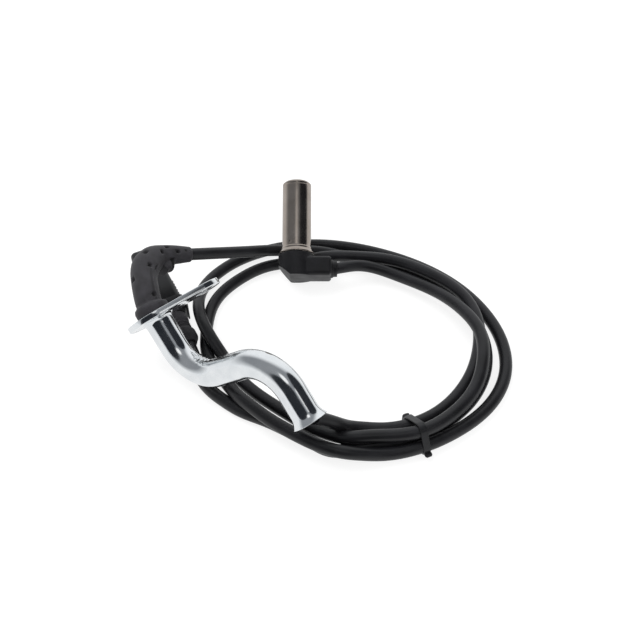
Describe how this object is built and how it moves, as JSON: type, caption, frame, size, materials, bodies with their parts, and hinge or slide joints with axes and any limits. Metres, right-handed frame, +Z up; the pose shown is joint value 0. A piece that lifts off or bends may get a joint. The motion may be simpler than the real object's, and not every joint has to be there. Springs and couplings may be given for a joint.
{
  "type": "abs wheel speed sensor",
  "caption": "Angled cylindrical wheel speed sensor on a long coiled cable that runs through a bent metal guide tube with a bolt-on flange and rubber boot to a sealed plug connector.",
  "frame": {"origin": "on the surface that the part lies on, under the middle of the box round the sensor, guide tube, flange plate and boot", "axes": "+Z up from the surface; +X towards the far side of the cable coil, where the cable tie is; +Y towards the tip of the sensor"},
  "size_m": [0.2026, 0.1648, 0.043],
  "materials": {
    "black_plastic": "moulded glass-filled nylon, fine satin",
    "grey_plastic": "moulded plastic",
    "sleeve_metal": "drawn steel sleeve, worn dull nickel",
    "soft_iron": "turned soft iron",
    "copper_wire": "enamelled copper wire",
    "magnet_alloy": "ground magnet alloy",
    "brass": "stamped brass",
    "zinc_plate": "bright zinc-plated steel",
    "boot_rubber": "matt moulded rubber",
    "cable_jacket": "satin extruded cable jacket",
    "silicone": "silicone rubber seal",
    "tie_nylon": "moulded nylon"
  },
  "bodies": {
    "root": {"elbow_housing": "black_plastic", "sensor_sleeve": "sleeve_metal", "front_cap": "black_plastic", "pole_pin": "soft_iron", "coil_spool": "grey_plastic", "coil_winding": "copper_wire", "magnet": "magnet_alloy", "magnet_carrier": "grey_plastic", "terminal_strip_a": "brass", "terminal_strip_b": "brass", "core_lead_a": "copper_wire", "core_lead_b": "copper_wire", "guide_tube": "zinc_plate", "flange_plate": "zinc_plate", "rubber_boot": "boot_rubber", "cable_in_tube": "cable_jacket", "connector_housing": "black_plastic", "connector_collar": "black_plastic", "connector_insert": "grey_plastic", "connector_seal": "silicone", "rear_seal": "silicone", "contact_pin_a": "brass", "contact_pin_b": "brass", "connector_rear_boot": "boot_rubber", "cable_tie": "tie_nylon", "cable_sensor_side": "cable_jacket", "cable_connector_side": "cable_jacket"}
  },
  "joints": []
}
